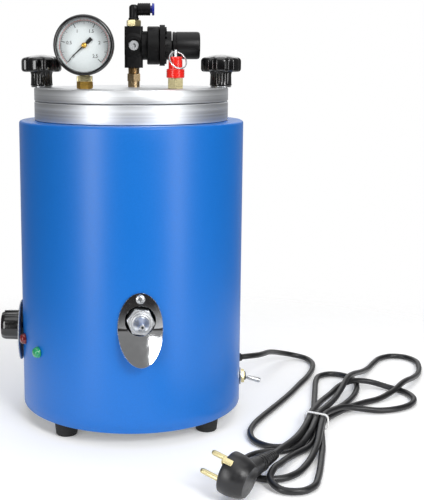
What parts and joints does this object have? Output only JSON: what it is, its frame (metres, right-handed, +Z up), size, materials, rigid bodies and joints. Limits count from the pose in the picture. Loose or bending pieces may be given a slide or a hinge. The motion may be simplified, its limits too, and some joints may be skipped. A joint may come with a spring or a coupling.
{
  "type": "heated pressure pot",
  "caption": "Heated, lidded pressure pot with clamp knobs, pressure gauge, air regulator with hose elbow, relief valve, outlet nozzle, thermostat, lamps, switch and coiled mains lead.",
  "frame": {"origin": "under the middle of the pot and its fittings, at floor level; the mains lead and plug aren't counted", "axes": "+Z up, -Y the front with the nozzle and the gauge's face, +X the side with the toggle switch"},
  "size_m": [0.4781, 0.4113, 0.419],
  "materials": {
    "shell_paint": "semi-gloss blue powder coat",
    "sheet_steel": "plain",
    "tank_aluminium": "turned",
    "lid_aluminium": "turned",
    "seal_rubber": "matt",
    "insulation": "felted",
    "heater": "cast",
    "chrome": "polished",
    "brass": "machined",
    "pale_brass": "machined",
    "steel": "bright",
    "knob_black": "gloss",
    "regulator_black": "matt",
    "body_black": "matt",
    "gauge_black": "gloss",
    "gauge_face": "printed white",
    "glass": "clear",
    "red_lens": "clear red",
    "green_lens": "clear green",
    "red_cap": "gloss",
    "blue_collar": "gloss",
    "foot_rubber": "matt",
    "cord_pvc": "satin",
    "tie_white": "satin"
  },
  "bodies": {
    "housing": {"outer_shell": "shell_paint", "bottom_plate": "sheet_steel", "foot_front_right": "foot_rubber", "foot_rear_right": "foot_rubber", "foot_rear_left": "foot_rubber", "foot_front_left": "foot_rubber", "tank": "tank_aluminium", "lid_gasket": "seal_rubber", "insulation_jacket": "insulation", "heating_plate": "heater", "nozzle_block": "brass", "nozzle_spring": "steel", "escutcheon": "chrome", "escutcheon_screw": "chrome", "dial_plate": "chrome", "thermostat_body": "body_black", "thermostat_bulb": "brass", "red_lamp": "red_lens", "green_lamp": "green_lens", "switch_body": "body_black", "switch_washer": "steel", "switch_nut": "pale_brass", "cable_gland": "body_black", "terminal_block": "tie_white", "power_cord": "cord_pvc", "cord_tie": "tie_white", "plug_body": "cord_pvc", "plug_sleeve": "cord_pvc", "plug_pin_left": "pale_brass", "plug_pin_right": "pale_brass", "earth_strip": "pale_brass"},
    "lid": {"lid": "lid_aluminium", "gauge_case": "gauge_black", "gauge_bezel": "gauge_black", "gauge_lens": "glass", "gauge_dial": "gauge_face", "gauge_stem": "brass", "regulator_body": "regulator_black", "regulator_bonnet": "regulator_black", "regulator_plug": "steel", "nipple": "brass", "elbow_nut": "pale_brass", "valve_base": "pale_brass", "valve_cap": "red_cap"},
    "clamp_washer_left": {"clamp_washer_left": "steel"},
    "clamp_left": {"clamp_knob_left": "knob_black", "clamp_stud_left": "steel"},
    "clamp_washer_right": {"clamp_washer_right": "steel"},
    "clamp_right": {"clamp_knob_right": "knob_black", "clamp_stud_right": "steel"},
    "gauge_needle": {"gauge_needle": "regulator_black"},
    "regulator_spindle": {"regulator_spindle": "regulator_black"},
    "regulator_knob": {"regulator_knob": "regulator_black"},
    "elbow": {"elbow_body": "body_black"},
    "release_collar": {"release_collar": "blue_collar"},
    "valve_stem": {"valve_stem": "steel"},
    "pull_ring": {"pull_ring": "steel"},
    "nozzle": {"nozzle": "chrome"},
    "thermostat_knob": {"thermostat_knob": "knob_black"},
    "switch_lever": {"switch_lever": "steel"}
  },
  "joints": [
    {"name": "lid_lift", "type": "slide", "parent": "housing", "child": "lid", "axis": [0, 0, 1], "range_m": [0, 0.12]},
    {"name": "clamp_rise_left", "type": "slide", "parent": "lid", "child": "clamp_washer_left", "axis": [0, 0, 1], "range_m": [0, 0.005]},
    {"name": "clamp_turn_left", "type": "hinge", "parent": "clamp_washer_left", "child": "clamp_left", "pos_m": [-0.0901, 0.01236, 0.34], "axis": [0, 0, 1], "range_deg": [0, 1440]},
    {"name": "clamp_rise_right", "type": "slide", "parent": "lid", "child": "clamp_washer_right", "axis": [0, 0, 1], "range_m": [0, 0.005]},
    {"name": "clamp_turn_right", "type": "hinge", "parent": "clamp_washer_right", "child": "clamp_right", "pos_m": [0.0895, 0.01236, 0.34], "axis": [0, 0, 1], "range_deg": [0, 1440]},
    {"name": "needle_turn", "type": "hinge", "parent": "lid", "child": "gauge_needle", "pos_m": [-0.0442, -0.03264, 0.3759], "axis": [0, 1, 0], "range_deg": [0, 270], "stiffness_Nm_per_rad": 0.001, "springref_deg": -2.86},
    {"name": "regulator_turn", "type": "hinge", "parent": "lid", "child": "regulator_spindle", "pos_m": [0.0347, 0.03236, 0.3766], "axis": [-1, 0, 0], "range_deg": [0, 1440]},
    {"name": "regulator_pull", "type": "slide", "parent": "regulator_spindle", "child": "regulator_knob", "axis": [1, 0, 0], "range_m": [0, 0.0015]},
    {"name": "elbow_swivel", "type": "hinge", "parent": "lid", "child": "elbow", "pos_m": [0.0021, 0.03236, 0.408], "axis": [0, 0, 1], "continuous": true},
    {"name": "release_push", "type": "slide", "parent": "elbow", "child": "release_collar", "axis": [-1, 0, 0], "range_m": [0, 0.0012], "stiffness_N_per_m": 400, "springref_m": -0.0005},
    {"name": "valve_lift", "type": "slide", "parent": "lid", "child": "valve_stem", "axis": [0, 0, 1], "range_m": [0, 0.0025], "stiffness_N_per_m": 800, "springref_m": -0.001},
    {"name": "ring_swing", "type": "hinge", "parent": "valve_stem", "child": "pull_ring", "pos_m": [0.0426, -0.03264, 0.3697], "axis": [-0.866, -0.5, 0], "range_deg": [0, 120]},
    {"name": "nozzle_push", "type": "slide", "parent": "housing", "child": "nozzle", "axis": [-0.0837, 0.9965, 0], "range_m": [0, 0.003], "stiffness_N_per_m": 1500, "springref_m": -0.002},
    {"name": "thermostat_turn", "type": "hinge", "parent": "housing", "child": "thermostat_knob", "pos_m": [-0.1253, 0.01236, 0.089], "axis": [1, 0, 0], "range_deg": [0, 290]},
    {"name": "switch_flip", "type": "hinge", "parent": "housing", "child": "switch_lever", "pos_m": [0.1151, 0.01236, 0.034], "axis": [0, -1, 0], "range_deg": [0, 30]}
  ],
  "couplings": [
    {"joint": "clamp_rise_left", "follows": "clamp_turn_left", "m_per_rad": 0.00019894},
    {"joint": "clamp_rise_right", "follows": "clamp_turn_right", "m_per_rad": 0.00019894}
  ]
}
